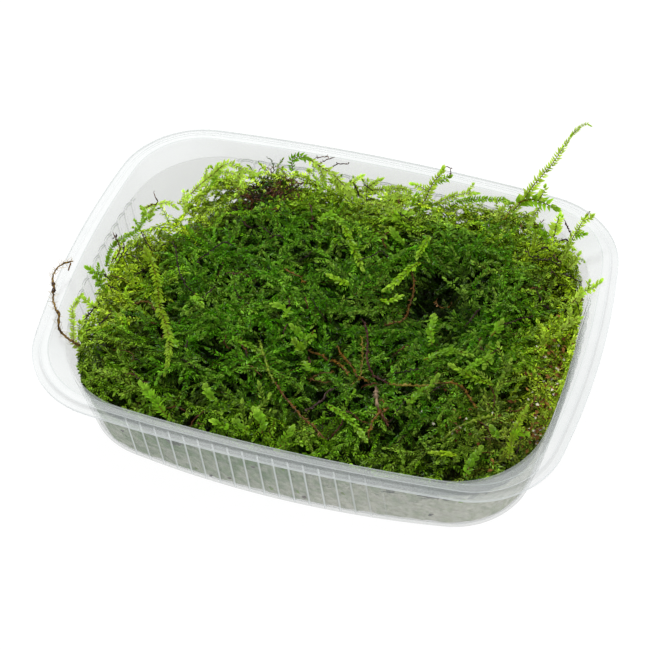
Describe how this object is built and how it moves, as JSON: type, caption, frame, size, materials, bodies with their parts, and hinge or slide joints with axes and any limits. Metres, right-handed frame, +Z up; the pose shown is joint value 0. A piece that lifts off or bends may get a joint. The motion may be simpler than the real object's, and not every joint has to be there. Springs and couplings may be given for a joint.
{
  "type": "moss clump in a tub",
  "caption": "Clump of living aquatic moss with leafy shoots and bare stems, in a shallow translucent ribbed tub that stands on its flat floor.",
  "frame": {"origin": "middle of the tub's footprint, on the surface that it stands on", "axes": "+X along the long side, +Y to the back edge with the tall shoot, +Z up"},
  "size_m": [0.179, 0.1352, 0.0752],
  "materials": {
    "tub": "translucent milky polypropylene, satin",
    "moss_mass": "wet dark moss",
    "moss_leaf": "wet leaves, thin and slightly see-through",
    "moss_leaf_pale": "young pale leaves, thin and see-through",
    "stem_brown": "wet bare stem",
    "stem_orange": "wet bare stem",
    "stem_purple": "wet bare stem",
    "stem_straw": "wet straw-coloured stem",
    "rhizoid": "dark wiry rhizoids and dead bits"
  },
  "bodies": {
    "root": {"tub": "tub", "moss_clump": "moss_mass", "tall_shoot": "moss_leaf_pale", "back_shoot": "moss_leaf_pale", "right_shoot": "moss_leaf", "pale_tuft_shoot": "moss_leaf_pale", "back_arch_shoot": "moss_leaf_pale", "back_left_shoot": "moss_leaf", "left_long_shoot": "moss_leaf_pale", "left_pale_shoot": "moss_leaf_pale", "front_right_shoot": "moss_leaf", "yellow_stem": "stem_straw", "orange_stem": "stem_orange", "orange_stem_branch": "stem_orange", "purple_stem": "stem_purple", "long_stem": "stem_brown", "thick_stem": "stem_brown", "curved_stem": "stem_brown", "green_stalk": "stem_straw", "rhizoid_1": "rhizoid", "rhizoid_2": "rhizoid", "rhizoid_3": "rhizoid", "wiry_root": "rhizoid"}
  },
  "joints": []
}
